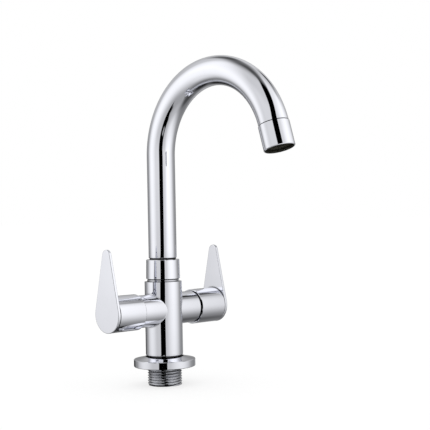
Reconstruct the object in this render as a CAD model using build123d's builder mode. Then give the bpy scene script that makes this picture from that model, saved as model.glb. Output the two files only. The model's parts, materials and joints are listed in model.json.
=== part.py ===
from build123d import *
import math
import os

# Centre hole basin mixer: one column, a swivel spout and two quarter-turn handles.
# Millimetres. The origin is the centre of the base flange's underside, on the basin.
# +Z is up, the spout points along -Y, the cold handle is at +X and the hot one at -X.

os.makedirs("parts", exist_ok=True)

# Counts and angles that aren't choices: sides of a hexagon, degrees in a turn, and straight up
hexagon = 6
full_turn = 360
upward = 90

# Clearances
running_gap = 0.08
turning_gap = 0.3
thread_gap = 0.05
seal_gap = 0.05

# Base flange and its gasket
flange_radius = 24.1
flange_rim_height = 5.8
flange_height = 9.5
flange_edge = 0.4
flange_hollow_radius = 14.0
gasket_inner_radius = 14.6
gasket_outer_radius = 20.4
gasket_thickness = 1.6

# Column and arms of the body
column_radius = 14.6
column_length = 56.8
column_edge_round = 0.8
foot_groove_height = 0.7
foot_groove_depth = 0.8
arm_radius = 12.5
arm_rise = 34.8
arm_reach = 28.7
arm_edge = 0.3
saddle_round = 0.6

# Threaded shank under the flange and what clamps it to the basin
thread_radius = 13.4
thread_pitch = 2.0
thread_depth = 1.15
thread_crest = 0.24
shank_length = 50.0
shank_bore_radius = 10.5
shank_neck_radius = 12.0
shank_socket_depth = 12.5
shank_end_length = 1.2
basin_thickness = 15.0
washer_gap = 0.2
deck_washer_radius = 22.0
deck_washer_thickness = 2.0
clamp_washer_radius = 21.0
clamp_washer_thickness = 1.6
back_nut_width = 36.0
back_nut_height = 8.0
back_nut_chamfer = 2.0
nut_chamfer_angle = 30.0

# Water ways in the body
port_radius = 4.5
port_offset = 5.3
port_depth = 8.0
supply_radius = 3.0
seat_reach = 9.0
seat_radius = 4.3
seat_start = 2.5
chamber_radius = 7.6
mix_slot_width = 8.0
mix_slot_height = 2.4
mix_slot_reach = 17.0

# Spout socket, collar nut and glide ring
socket_radius = 9.5
socket_depth = 8.6
collar_thread_radius = 11.5
collar_thread_length = 5.0
collar_step_radius = 12.5
collar_step_height = 2.0
collar_groove_height = 0.5
collar_groove_depth = 0.6
collar_foot_radius = 13.3
collar_top_radius = 13.0
collar_length = 15.25
collar_edge = 0.4
collar_lip_height = 4.3
collar_bore_radius = 10.6
glide_ring_radius = 10.3
glide_ring_height = 1.0
glide_sleeve_radius = 9.9

# Spout tube
tube_radius = 11.0
tube_wall = 1.2
tube_rise = 79.35
tube_edge_round = 0.7
bend_radius = 61.0
bend_angle = 163.5
foot_plug_length = 12.0
foot_neck_radius = 9.0
foot_bore_radius = 7.0
foot_seal_length = 8.0
foot_seal_section = 1.4
foot_seal_groove = 2.0
foot_seal_spacing = 3.6
keeper_height = 1.8
keeper_depth = 0.65
keeper_gap_angle = 60.0

# Nozzle and aerator, measured along the nozzle from the end of the tube
nozzle_radius = 11.4
nozzle_length = 18.5
nozzle_lip = 0.7
nozzle_groove_width = 0.35
nozzle_groove_depth = 0.9
nozzle_chamfer = 0.4
outlet_thread_radius = 9.75
outlet_wall = 1.2
outlet_insertion = 2.5
outlet_thread_length = 5.6
aerator_seal_thickness = 1.4
aerator_length = 9.2
aerator_wall = 0.9
jet_disc_thickness = 1.6
jet_count = 12
jet_radius = 0.6
jet_circle_radius = 5.8
screen_thickness = 0.5
grid_thickness = 1.4
grid_ring_radius = 6.6
grid_ring_width = 0.6
grid_pitch = 1.7
grid_hole = 1.2
grid_slot_count = 24
grid_slot_width = 0.9

# Valve, measured along the arm from the column's axis
gland_thread_radius = 8.3
gland_thread_length = 7.5
gland_cage_radius = 7.4
gland_cage_start = 10.4
gland_bore_radius = 5.85
gland_width = 17.0
gland_flange_radius = 10.8
gland_flange_thickness = 1.2
gland_head_length = 4.8
gland_neck_radius = 6.4
gland_neck_length = 2.1
gland_seal_section = 1.4
gland_seal_recess = 1.6
window_width = 6.0
seat_seal_thickness = 3.6
seat_seal_bore_radius = 3.6
disc_radius = 5.8
disc_thickness = 2.8
disc_film = 0.05
disc_lug_width = 1.6
disc_lug_height = 0.7
disc_port_inner_radius = 1.4
disc_port_outer_radius = 4.6
disc_port_angle = 76.0
drive_gap = 2.3
drive_thickness = 2.8
drive_radius = 5.5
drive_tongue_width = 2.2
drive_tongue_length = 8.0
drive_tongue_depth = 1.2
stop_lug_radius = 6.6
stop_lug_angle = 24.0
stop_slack_angle = 6.0
handle_travel = 90.0
spindle_radius = 3.5
spindle_seal_section = 1.0
spindle_seal_groove = 1.3
spindle_seal_spacing = 3.0
slip_washer_thickness = 0.4
circlip_thickness = 0.8
circlip_radius = 5.0
circlip_groove_depth = 0.5
circlip_opening_angle = 100.0
spline_radius = 3.95
spline_tooth_depth = 0.45
spline_teeth = 20
spline_length = 9.2

# Handle
hub_radius = 13.8
hub_length = 25.3
hub_gap = 0.75
hub_edge = 0.3
hub_groove_width = 0.35
hub_groove_depth = 0.6
hub_skirt_radius = 11.8
hub_skirt_depth = 9.05
insert_radius = 6.0
insert_length = 9.8
paddle_thickness = 2.5
paddle_radius = 13.9
paddle_tip_radius = 4.3
paddle_tip_rise = 44.5
paddle_edge_round = 0.6
paddle_spigot_radius = 5.0
paddle_spigot_length = 2.0
paddle_screw_radius = 2.0
paddle_screw_head_radius = 3.8
paddle_screw_grip = 1.6
grub_radius = 2.5
grub_station = 14.75
grub_recess = 0.6
socket_width = 2.5
grub_socket_depth = 2.4

# Heights and stations worked out from the sizes above
column_bottom = flange_height
column_top = column_bottom + column_length
arm_height = column_bottom + arm_rise
shank_top = column_bottom + shank_socket_depth
socket_top = column_top - collar_thread_length
socket_floor = socket_top - socket_depth
collar_foot = column_top + collar_step_height
collar_top = collar_foot + collar_length
collar_shoulder = collar_top - collar_lip_height
tube_foot = collar_top + glide_ring_height
bend_height = tube_foot + tube_rise
foot_bottom = socket_floor + turning_gap
foot_seal_top = foot_bottom + foot_seal_length
foot_seal_radius = socket_radius - running_gap
seal_groove_floor = foot_seal_radius - foot_seal_section
seal_middle = foot_bottom + foot_seal_length / 2
seal_heights = (seal_middle - foot_seal_spacing / 2, seal_middle + foot_seal_spacing / 2)
keeper_top = collar_shoulder - turning_gap
keeper_bottom = keeper_top - keeper_height
keeper_floor = foot_neck_radius - keeper_depth
tube_bore_radius = tube_radius - tube_wall
nut_top = -basin_thickness - deck_washer_thickness - clamp_washer_thickness

aerator_radius = nozzle_radius - nozzle_lip
aerator_start = outlet_thread_length + aerator_seal_thickness
aerator_end = aerator_start + aerator_length
cup_radius = aerator_radius - seal_gap
cup_bore_radius = cup_radius - aerator_wall
aerator_disc_radius = cup_bore_radius - seal_gap
jet_disc_end = aerator_start + jet_disc_thickness
screen_start = jet_disc_end + aerator_wall
screen_end = screen_start + screen_thickness
grid_start = aerator_end - grid_thickness

seal_end = seat_reach + seat_seal_thickness
fixed_disc_end = seal_end + disc_thickness
moving_disc_start = fixed_disc_end + disc_film
moving_disc_end = moving_disc_start + disc_thickness
drive_start = moving_disc_end + drive_gap
drive_end = drive_start + drive_thickness
slip_washer_end = drive_end + slip_washer_thickness
pocket_start = drive_start - running_gap
gland_thread_start = arm_reach - gland_thread_length + turning_gap
head_start = arm_reach + gland_flange_thickness
head_end = head_start + gland_head_length
neck_end = head_end + gland_neck_length
circlip_start = neck_end + running_gap
circlip_end = circlip_start + circlip_thickness
circlip_floor = spindle_radius - circlip_groove_depth
spline_start = circlip_end + turning_gap
spline_root_radius = spline_radius - spline_tooth_depth
tongue_end = moving_disc_end - drive_tongue_depth + seal_gap
spindle_seal_floor = spindle_radius - spindle_seal_section
spindle_seal_middle = (slip_washer_end + neck_end) / 2
spindle_seal_stations = (spindle_seal_middle - spindle_seal_spacing / 2,
                         spindle_seal_middle + spindle_seal_spacing / 2)
hub_start = arm_reach + hub_gap
hub_end = hub_start + hub_length
hub_skirt_end = hub_start + hub_skirt_depth
insert_end = hub_skirt_end + insert_length
countersink_end = insert_end + paddle_screw_head_radius - paddle_screw_radius
spigot_start = hub_end - paddle_spigot_length
paddle_screw_end = hub_end + paddle_screw_grip
grub_axis = hub_start + grub_station
hub_bottom = arm_height - hub_radius

# The spout's plane: local x forward, local y up
spout_plane = Plane(origin=(0, 0, 0), x_dir=(0, -1, 0), z_dir=(-1, 0, 0))

# The nozzle's plane: local x across, local y along the nozzle, out of the spout
bend = math.radians(bend_angle)
nozzle_origin = (0, -bend_radius * (1 - math.cos(bend)), bend_height + bend_radius * math.sin(bend))
nozzle_direction = (0, -math.sin(bend), math.cos(bend))
nozzle_plane = Plane(origin=nozzle_origin, x_dir=(1, 0, 0), z_dir=(0, -math.cos(bend), -math.sin(bend)))
nozzle_axis = Axis(nozzle_origin, nozzle_direction)

# The valve's plane: local x out along the cold arm, local y up
valve_plane = Plane(origin=(0, 0, arm_height), x_dir=(1, 0, 0), z_dir=(0, -1, 0))
valve_axis = Axis((0, 0, arm_height), (1, 0, 0))


def across_valve(station):
    """A plane square to the cold arm: local x to the back, local y up, local z outward."""
    return Plane(origin=(station, 0, arm_height), x_dir=(0, 1, 0), z_dir=(1, 0, 0))


def across_nozzle(station):
    """A plane square to the nozzle, at a distance from the end of the tube."""
    origin = Vector(nozzle_origin) + Vector(nozzle_direction) * station
    return Plane(origin=origin, x_dir=(1, 0, 0), z_dir=nozzle_direction)


def outline_face(outline, plane):
    """The face inside a closed outline of straight lines, given as points in a plane."""
    with BuildSketch(plane) as outline_sketch:
        with BuildLine():
            Polyline(*outline, close=True)
        make_face()
    return outline_sketch.sketch


def turn_upright(outline, mode=Mode.ADD):
    """Turn points (radius, height) about the column's axis, in the piece being made."""
    revolve(outline_face(outline, Plane.XZ), axis=Axis.Z, mode=mode)


def turn_nozzle(outline, mode=Mode.ADD):
    """Turn points (radius, distance along the nozzle) about the nozzle's axis."""
    revolve(outline_face(outline, nozzle_plane), axis=nozzle_axis, mode=mode)


def turn_valve(outline, mode=Mode.ADD):
    """Turn points (distance along the arm, radius) about the arm's axis."""
    revolve(outline_face(outline, valve_plane), axis=valve_axis, mode=mode)


def ring(low, high, inner, outer):
    """The outline of a plain ring: two heights and two radii."""
    return [(inner, low), (outer, low), (outer, high), (inner, high)]


def sleeve(start, end, inner, outer):
    """The outline of a plain sleeve on the valve's axis: two stations and two radii."""
    return [(start, inner), (end, inner), (end, outer), (start, outer)]


def bore(start, end, radius):
    """The outline of a round hole on the valve's axis."""
    return sleeve(start, end, 0, radius)


def ridges(start, end, crest, depth, pitch):
    """Points of a V thread's ridges from one height down to another, root first."""
    points = []
    turns = int((start - end) / pitch)
    for turn_number in range(turns):
        root_height = start - turn_number * pitch
        crest_height = root_height - pitch / 2
        points.append((crest - depth, root_height))
        points.append((crest, crest_height + thread_crest / 2))
        points.append((crest, crest_height - thread_crest / 2))
    points.append((crest - depth, start - turns * pitch))
    return points


def star(teeth, outer, inner):
    """Corner points of a spline with pointed teeth."""
    points = []
    for corner in range(2 * teeth):
        radius = outer if corner % 2 == 0 else inner
        angle = math.pi * corner / teeth
        points.append((radius * math.cos(angle), radius * math.sin(angle)))
    return points


def sector(inner, outer, middle, spread):
    """A face between two radii, spread degrees wide about a middle angle."""
    with BuildSketch() as sector_sketch:
        with BuildLine():
            inner_arc = CenterArc((0, 0), inner, middle - spread / 2, spread)
            outer_arc = CenterArc((0, 0), outer, middle - spread / 2, spread)
            Line(inner_arc @ 0, outer_arc @ 0)
            Line(inner_arc @ 1, outer_arc @ 1)
        make_face()
    return sector_sketch.sketch


# Body: a hollow brass casting in the shape of a cross
with BuildPart() as mixer_body:
    with BuildSketch(Plane.XY.offset(column_bottom)):
        Circle(column_radius)
    extrude(amount=column_length)
    with BuildSketch(Plane.YZ.offset(-arm_reach)):
        with Locations((0, arm_height)):
            Circle(arm_radius)
    extrude(amount=2 * arm_reach)
    # The curves where arms and column meet are neither lines nor circles
    plain_kinds = (GeomType.LINE, GeomType.CIRCLE)
    saddles = mixer_body.edges().filter_by(lambda edge: edge.geom_type not in plain_kinds)
    fillet(saddles, saddle_round)
    fillet(mixer_body.edges().filter_by(GeomType.CIRCLE).sort_by(Axis.Z)[0], column_edge_round)
    round_edges = mixer_body.edges().filter_by(GeomType.CIRCLE)
    chamfer(round_edges.filter_by(lambda edge: abs(edge.center().X) > arm_reach - arm_edge), arm_edge)
    # A groove sets the column off from the flange
    turn_upright(ring(column_bottom, column_bottom + foot_groove_height,
                      column_radius - foot_groove_depth, flange_radius), Mode.SUBTRACT)
    # The spout's socket and the thread for the collar nut
    turn_upright(ring(socket_floor, column_top, 0, socket_radius), Mode.SUBTRACT)
    turn_upright(ring(socket_top, column_top, 0, collar_thread_radius + thread_gap), Mode.SUBTRACT)
    # The shank's socket, and above it the two inlet ports and their supply ways
    turn_upright(ring(column_bottom, shank_top, 0, shank_neck_radius + thread_gap), Mode.SUBTRACT)
    with BuildSketch(Plane.XY.offset(shank_top)):
        with Locations((-port_offset, 0), (port_offset, 0)):
            Circle(port_radius)
    extrude(amount=port_depth, mode=Mode.SUBTRACT)
    with BuildSketch(Plane.XY.offset(shank_top)):
        with Locations((-port_offset, 0), (port_offset, 0)):
            Circle(supply_radius)
    extrude(amount=arm_height - shank_top, mode=Mode.SUBTRACT)
    # A valve chamber in each arm, and the slot that carries mixed water up to the spout
    gland_recess_radius = gland_thread_radius + gland_seal_section + 2 * seal_gap
    chamber = (
        bore(seat_start, seat_reach, seat_radius),
        bore(seat_reach, arm_reach, chamber_radius),
        bore(arm_reach - gland_thread_length, arm_reach, gland_thread_radius + thread_gap),
        bore(arm_reach - gland_seal_recess, arm_reach, gland_recess_radius),
    )
    for side in (1, -1):
        for step in chamber:
            turn_valve([(side * station, radius) for station, radius in step], Mode.SUBTRACT)
    with BuildSketch(Plane.XY.offset(socket_floor)):
        Rectangle(2 * mix_slot_reach, mix_slot_width)
    extrude(amount=-mix_slot_height, mode=Mode.SUBTRACT)

# Base flange: a turned disc whose top sweeps up to the column in a shallow hollow
with BuildPart() as base_flange:
    flange_bore_radius = shank_neck_radius + washer_gap
    with BuildSketch(Plane.XZ):
        with BuildLine():
            Polyline((flange_bore_radius, flange_height), (flange_bore_radius, 0),
                     (flange_radius - flange_edge, 0), (flange_radius, flange_edge),
                     (flange_radius, flange_rim_height - flange_edge),
                     (flange_radius - flange_edge, flange_rim_height))
            RadiusArc((flange_radius - flange_edge, flange_rim_height), (column_radius, flange_height),
                      flange_hollow_radius)
            Line((column_radius, flange_height), (flange_bore_radius, flange_height))
        make_face()
    revolve(axis=Axis.Z)
    turn_upright(ring(0, gasket_thickness, gasket_inner_radius, gasket_outer_radius), Mode.SUBTRACT)

with BuildPart() as flange_gasket:
    turn_upright(ring(0, gasket_thickness, gasket_inner_radius + seal_gap, gasket_outer_radius - seal_gap))

# Shank: a plain neck screwed into the column, then the long thread for the back nut
with BuildPart() as shank:
    thread_end = -shank_length + shank_end_length
    turn_upright([
        (shank_bore_radius, shank_top),
        (shank_neck_radius, shank_top),
        (shank_neck_radius, 0),
        *ridges(0, thread_end, thread_radius, thread_depth, thread_pitch),
        (thread_radius - thread_depth, -shank_length),
        (shank_bore_radius, -shank_length),
    ])

# Rubber washer, steel washer and back nut under the basin
with BuildPart() as deck_washer:
    turn_upright(ring(-basin_thickness - deck_washer_thickness, -basin_thickness,
                      thread_radius + washer_gap, deck_washer_radius))

with BuildPart() as clamp_washer:
    turn_upright(ring(nut_top, nut_top + clamp_washer_thickness,
                      thread_radius + washer_gap, clamp_washer_radius))

with BuildPart() as back_nut:
    with BuildSketch(Plane.XY.offset(nut_top - back_nut_height)):
        RegularPolygon(back_nut_width / 2, hexagon, major_radius=False)
        Circle(thread_radius + thread_gap, mode=Mode.SUBTRACT)
    extrude(amount=back_nut_height)
    # The hexagon's corners are turned down at both ends
    corner_radius = back_nut_width / math.sqrt(3)
    corner_drop = back_nut_chamfer * math.tan(math.radians(nut_chamfer_angle))
    turn_upright([
        (0, nut_top - back_nut_height),
        (corner_radius - back_nut_chamfer, nut_top - back_nut_height),
        (corner_radius, nut_top - back_nut_height + corner_drop),
        (corner_radius, nut_top - corner_drop),
        (corner_radius - back_nut_chamfer, nut_top),
        (0, nut_top),
    ], Mode.INTERSECT)

# Collar nut: screwed into the column, it holds the spout down and lets it swivel
with BuildPart() as collar_nut:
    turn_upright([
        (collar_bore_radius, socket_top + turning_gap),
        (collar_thread_radius, socket_top + turning_gap),
        (collar_thread_radius, column_top),
        (collar_step_radius, column_top),
        (collar_step_radius, collar_foot - collar_groove_height),
        (collar_step_radius - collar_groove_depth, collar_foot - collar_groove_height),
        (collar_step_radius - collar_groove_depth, collar_foot),
        (collar_foot_radius - 2 * collar_edge, collar_foot),
        (collar_foot_radius, collar_foot + collar_edge),
        (collar_top_radius, collar_top - collar_edge),
        (collar_top_radius - collar_edge, collar_top),
        (glide_sleeve_radius + seal_gap, collar_top),
        (glide_sleeve_radius + seal_gap, collar_shoulder),
        (collar_bore_radius, collar_shoulder),
    ])

# Glide ring: the black plastic bush between the collar nut and the turning spout
with BuildPart() as glide_ring:
    turn_upright([
        (foot_neck_radius + running_gap, collar_shoulder),
        (glide_sleeve_radius, collar_shoulder),
        (glide_sleeve_radius, collar_top),
        (glide_ring_radius, collar_top),
        (glide_ring_radius, tube_foot),
        (foot_neck_radius + running_gap, tube_foot),
    ])

# Spout tube: straight up from the collar, then bent over in one arc
with BuildPart() as spout_tube:
    with BuildLine(spout_plane) as spout_path:
        Line((0, tube_foot), (0, bend_height))
        JernArc(start=(0, bend_height), tangent=(0, 1), radius=bend_radius, arc_size=-bend_angle)
    with BuildSketch(Plane.XY.offset(tube_foot)):
        Circle(tube_radius)
        Circle(tube_bore_radius, mode=Mode.SUBTRACT)
    sweep(path=spout_path.wires()[0])
    fillet(spout_tube.edges().filter_by(GeomType.CIRCLE).group_by(Axis.Z)[0].sort_by(SortBy.RADIUS)[-1],
           tube_edge_round)

# Spout foot: the turned brass plug that carries the tube in the column
with BuildPart() as spout_foot:
    turn_upright([
        (foot_bore_radius, foot_bottom),
        (foot_seal_radius, foot_bottom),
        (foot_seal_radius, foot_seal_top),
        (foot_neck_radius, foot_seal_top),
        (foot_neck_radius, tube_foot),
        (tube_bore_radius - thread_gap, tube_foot),
        (tube_bore_radius - thread_gap, tube_foot + foot_plug_length),
        (foot_bore_radius, tube_foot + foot_plug_length),
    ])
    for height in seal_heights:
        groove = ring(height - foot_seal_groove / 2, height + foot_seal_groove / 2,
                      seal_groove_floor - seal_gap, foot_seal_radius)
        turn_upright(groove, Mode.SUBTRACT)
    groove = ring(keeper_bottom - seal_gap, keeper_top + seal_gap, keeper_floor, foot_neck_radius)
    turn_upright(groove, Mode.SUBTRACT)

with BuildPart() as spout_o_rings:
    seal_path_radius = (seal_groove_floor + socket_radius - seal_gap) / 2
    for height in seal_heights:
        with BuildSketch(Plane.XZ):
            with Locations((seal_path_radius, height)):
                Circle((socket_radius - seal_gap - seal_groove_floor) / 2)
        revolve(axis=Axis.Z)

# Keeper: the split ring in the foot's groove that stops the spout lifting out
with BuildPart() as spout_keeper:
    with BuildSketch(Plane.XY.offset(keeper_bottom)):
        add(sector(keeper_floor + seal_gap, collar_bore_radius - turning_gap,
                   upward, full_turn - keeper_gap_angle))
    extrude(amount=keeper_height)

# Outlet bush: the threaded brass bush brazed into the end of the tube
with BuildPart() as outlet_bush:
    turn_nozzle(ring(-outlet_insertion, outlet_thread_length,
                     outlet_thread_radius - outlet_wall, outlet_thread_radius - thread_gap))

# Nozzle: the sleeve screwed over the outlet bush, level with the tube
with BuildPart() as nozzle:
    turn_nozzle([
        (outlet_thread_radius, 0),
        (nozzle_radius - nozzle_groove_depth, 0),
        (nozzle_radius - nozzle_groove_depth, nozzle_groove_width),
        (nozzle_radius, nozzle_groove_width),
        (nozzle_radius, nozzle_length - nozzle_chamfer),
        (nozzle_radius - nozzle_chamfer, nozzle_length),
        (aerator_radius, nozzle_length),
        (aerator_radius, outlet_thread_length),
        (outlet_thread_radius, outlet_thread_length),
    ])

with BuildPart() as aerator_seal:
    turn_nozzle(ring(outlet_thread_length, aerator_start,
                     outlet_thread_radius - outlet_wall, aerator_radius - seal_gap))

# Aerator: a plastic cup with a jet disc, a steel screen and an outlet grid
with BuildPart() as aerator_cup:
    turn_nozzle([
        (cup_bore_radius, aerator_start),
        (cup_radius, aerator_start),
        (cup_radius, aerator_end),
        (cup_bore_radius, aerator_end),
    ])
    # Two ledges inside carry the screen and the grid
    for ledge_start, ledge_end in ((jet_disc_end, screen_start), (screen_end, grid_start)):
        turn_nozzle(ring(ledge_start, ledge_end, cup_bore_radius - aerator_wall, cup_bore_radius))

with BuildPart() as jet_disc:
    with BuildSketch(across_nozzle(aerator_start)):
        Circle(aerator_disc_radius)
        with PolarLocations(jet_circle_radius, jet_count):
            Circle(jet_radius, mode=Mode.SUBTRACT)
    extrude(amount=jet_disc_thickness)

with BuildPart() as aerator_screen:
    with BuildSketch(across_nozzle(screen_start)):
        Circle(aerator_disc_radius)
    extrude(amount=screen_thickness)

with BuildPart() as aerator_grid:
    with BuildSketch(across_nozzle(grid_start)):
        Circle(aerator_disc_radius)
        # Square holes inside the ring, as far out as their corners fit
        reach = grid_ring_radius - grid_ring_width - grid_hole / math.sqrt(2)
        steps = int(reach / grid_pitch)
        for column in range(-steps, steps + 1):
            for row in range(-steps, steps + 1):
                if math.hypot(column, row) * grid_pitch < reach:
                    with Locations((column * grid_pitch, row * grid_pitch)):
                        Rectangle(grid_hole, grid_hole, mode=Mode.SUBTRACT)
        # Slots outside the ring
        slot_start = grid_ring_radius + grid_ring_width
        slot_length = aerator_disc_radius - grid_ring_width - slot_start
        with PolarLocations(slot_start + slot_length / 2, grid_slot_count):
            Rectangle(slot_length, grid_slot_width, mode=Mode.SUBTRACT)
    extrude(amount=grid_thickness)

# Valve gland: the brass headwork screwed into the arm, caged at its inner end
with BuildPart() as gland:
    turn_valve([
        (gland_cage_start, 0),
        (neck_end, 0),
        (neck_end, gland_neck_radius),
        (head_start, gland_neck_radius),
        (head_start, gland_flange_radius),
        (arm_reach, gland_flange_radius),
        (arm_reach, gland_thread_radius),
        (gland_thread_start, gland_thread_radius),
        (gland_thread_start, gland_cage_radius),
        (gland_cage_start, gland_cage_radius),
    ])
    with BuildSketch(across_valve(head_start)):
        RegularPolygon(gland_width / 2, hexagon, major_radius=False)
    extrude(amount=gland_head_length)
    for step in (
        bore(gland_cage_start, pocket_start, gland_bore_radius),
        bore(pocket_start, slip_washer_end, drive_radius + turning_gap),
        bore(slip_washer_end, neck_end, spindle_radius + running_gap),
    ):
        turn_valve(step, Mode.SUBTRACT)
    # The stop: the spindle's lug swings in this pocket from upright to forward
    with BuildSketch(across_valve(pocket_start)):
        add(sector(drive_radius, stop_lug_radius + turning_gap,
                   upward + handle_travel / 2, handle_travel + stop_lug_angle + stop_slack_angle))
    extrude(amount=slip_washer_end - pocket_start, mode=Mode.SUBTRACT)
    # Slots that key the fixed disc, and windows that let the water out of the cage
    with BuildSketch(across_valve(gland_cage_start)):
        Rectangle(2 * (disc_radius + disc_lug_height + seal_gap), disc_lug_width + 2 * seal_gap)
    extrude(amount=fixed_disc_end - gland_cage_start, mode=Mode.SUBTRACT)
    with BuildSketch(across_valve(moving_disc_end)):
        Rectangle(window_width, 2 * chamber_radius)
    extrude(amount=drive_gap - turning_gap, mode=Mode.SUBTRACT)

with BuildPart() as gland_o_ring:
    with BuildSketch(valve_plane):
        gland_seal_radius = (gland_thread_radius + gland_recess_radius) / 2
        with Locations((arm_reach - gland_seal_recess / 2, gland_seal_radius)):
            Circle(gland_seal_section / 2)
    revolve(axis=valve_axis)

# Ceramic discs and the rubber seal on the seat. The ports meet when the handle is forward
with BuildPart() as seat_seal:
    turn_valve(sleeve(seat_reach, seal_end, seat_seal_bore_radius, disc_radius - seal_gap))

with BuildPart() as fixed_disc:
    with BuildSketch(across_valve(seal_end)):
        Circle(disc_radius)
        Rectangle(2 * (disc_radius + disc_lug_height), disc_lug_width)
    extrude(amount=disc_thickness)
    with BuildSketch(across_valve(seal_end)):
        for middle in (upward - handle_travel, upward + handle_travel):
            add(sector(disc_port_inner_radius, disc_port_outer_radius, middle, disc_port_angle))
    extrude(amount=disc_thickness, mode=Mode.SUBTRACT)

with BuildPart() as moving_disc:
    with BuildSketch(across_valve(moving_disc_start)):
        Circle(disc_radius - running_gap)
    extrude(amount=disc_thickness)
    with BuildSketch(across_valve(moving_disc_start)):
        for middle in (upward, -upward):
            add(sector(disc_port_inner_radius, disc_port_outer_radius, middle, disc_port_angle))
    extrude(amount=disc_thickness, mode=Mode.SUBTRACT)
    with BuildSketch(across_valve(moving_disc_end)):
        Rectangle(drive_tongue_length + 2 * seal_gap, drive_tongue_width + 2 * seal_gap)
    extrude(amount=-drive_tongue_depth, mode=Mode.SUBTRACT)

# Spindle: turned brass, with a tongue for the disc, a stop lug and a spline
with BuildPart() as spindle:
    turn_valve(bore(drive_start, drive_end, drive_radius))
    turn_valve(bore(drive_end, spline_start, spindle_radius))
    with BuildSketch(across_valve(spline_start)):
        with BuildLine():
            Polyline(*star(spline_teeth, spline_radius, spline_root_radius), close=True)
        make_face()
    extrude(amount=spline_length)
    with BuildSketch(across_valve(tongue_end)):
        Rectangle(drive_tongue_length, drive_tongue_width)
    extrude(amount=drive_start - tongue_end)
    with BuildSketch(across_valve(drive_start)):
        add(sector(spindle_radius, stop_lug_radius, upward, stop_lug_angle))
    extrude(amount=drive_thickness)
    for station in spindle_seal_stations:
        groove = sleeve(station - spindle_seal_groove / 2, station + spindle_seal_groove / 2,
                        spindle_seal_floor, spindle_radius)
        turn_valve(groove, Mode.SUBTRACT)
    groove = sleeve(circlip_start, circlip_end, circlip_floor, spindle_radius)
    turn_valve(groove, Mode.SUBTRACT)

with BuildPart() as spindle_o_rings:
    for station in spindle_seal_stations:
        with BuildSketch(valve_plane):
            with Locations((station, spindle_seal_floor + spindle_seal_section / 2)):
                Circle(spindle_seal_section / 2)
        revolve(axis=valve_axis)

with BuildPart() as slip_washer:
    turn_valve(sleeve(drive_end, slip_washer_end, spindle_radius + seal_gap, drive_radius))

with BuildPart() as circlip:
    with BuildSketch(across_valve(circlip_start)):
        add(sector(circlip_floor + seal_gap, circlip_radius, upward, full_turn - circlip_opening_angle))
    extrude(amount=circlip_thickness - seal_gap)

# Handle hub: its skirt covers the gland, its bore holds the spline insert
with BuildPart() as handle_hub:
    turn_valve([
        (hub_start, 0),
        (hub_start, hub_radius - hub_edge),
        (hub_start + hub_edge, hub_radius),
        (hub_end - hub_groove_width, hub_radius),
        (hub_end - hub_groove_width, hub_radius - hub_groove_depth),
        (hub_end, hub_radius - hub_groove_depth),
        (hub_end, 0),
    ])
    countersink = [
        (insert_end, 0),
        (insert_end, paddle_screw_head_radius + running_gap),
        (countersink_end, paddle_screw_radius + running_gap),
        (countersink_end, 0),
    ]
    for step in (
        bore(hub_start, hub_skirt_end, hub_skirt_radius),
        bore(hub_skirt_end, insert_end, insert_radius),
        countersink,
        bore(insert_end, hub_end, paddle_screw_radius + running_gap),
        bore(spigot_start, hub_end, paddle_spigot_radius + seal_gap),
    ):
        turn_valve(step, Mode.SUBTRACT)
    with BuildSketch(Plane.XY.offset(hub_bottom)):
        with Locations((grub_axis, 0)):
            Circle(grub_radius + thread_gap)
    extrude(amount=hub_radius, mode=Mode.SUBTRACT)

# Paddle: the flat drop-shaped lever on the hub's end
with BuildPart() as handle_paddle:
    with BuildSketch(across_valve(hub_end)):
        Circle(paddle_radius)
        with Locations((0, paddle_tip_rise)):
            Circle(paddle_tip_radius)
        make_hull()
    extrude(amount=paddle_thickness)
    fillet(handle_paddle.edges().filter_by(Plane.YZ), paddle_edge_round)
    turn_valve(bore(spigot_start + seal_gap, hub_end, paddle_spigot_radius))
    turn_valve(bore(spigot_start, paddle_screw_end, paddle_screw_radius + thread_gap), Mode.SUBTRACT)

with BuildPart() as paddle_screw:
    turn_valve([
        (insert_end, 0),
        (insert_end, paddle_screw_head_radius),
        (countersink_end, paddle_screw_radius),
        (paddle_screw_end - seal_gap, paddle_screw_radius),
        (paddle_screw_end - seal_gap, 0),
    ])
    with BuildSketch(across_valve(insert_end)):
        RegularPolygon(socket_width / 2, hexagon, major_radius=False)
    extrude(amount=countersink_end - insert_end, mode=Mode.SUBTRACT)

with BuildPart() as spline_insert:
    with BuildSketch(across_valve(hub_skirt_end)):
        Circle(insert_radius - seal_gap)
        with BuildLine():
            socket_teeth = star(spline_teeth, spline_radius + seal_gap, spline_root_radius + seal_gap)
            Polyline(*socket_teeth, close=True)
        make_face(mode=Mode.SUBTRACT)
    extrude(amount=insert_length)

with BuildPart() as grub_screw:
    with BuildSketch(Plane.XY.offset(hub_bottom + grub_recess)):
        with Locations((grub_axis, 0)):
            Circle(grub_radius)
    extrude(amount=hub_radius - grub_recess - insert_radius)
    with BuildSketch(Plane.XY.offset(hub_bottom + grub_recess)):
        with Locations((grub_axis, 0)):
            RegularPolygon(socket_width / 2, hexagon, major_radius=False)
    extrude(amount=grub_socket_depth, mode=Mode.SUBTRACT)

# Every piece gets its name and its file
single_pieces = {
    "mixer_body": mixer_body,
    "base_flange": base_flange,
    "flange_gasket": flange_gasket,
    "shank": shank,
    "deck_washer": deck_washer,
    "clamp_washer": clamp_washer,
    "back_nut": back_nut,
    "collar_nut": collar_nut,
    "glide_ring": glide_ring,
    "spout_tube": spout_tube,
    "spout_foot": spout_foot,
    "spout_o_rings": spout_o_rings,
    "spout_keeper": spout_keeper,
    "outlet_bush": outlet_bush,
    "nozzle": nozzle,
    "aerator_seal": aerator_seal,
    "aerator_cup": aerator_cup,
    "jet_disc": jet_disc,
    "aerator_screen": aerator_screen,
    "aerator_grid": aerator_grid,
}
for name, piece in single_pieces.items():
    piece.part.label = name
    export_step(piece.part, f"parts/{name}.step")

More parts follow.
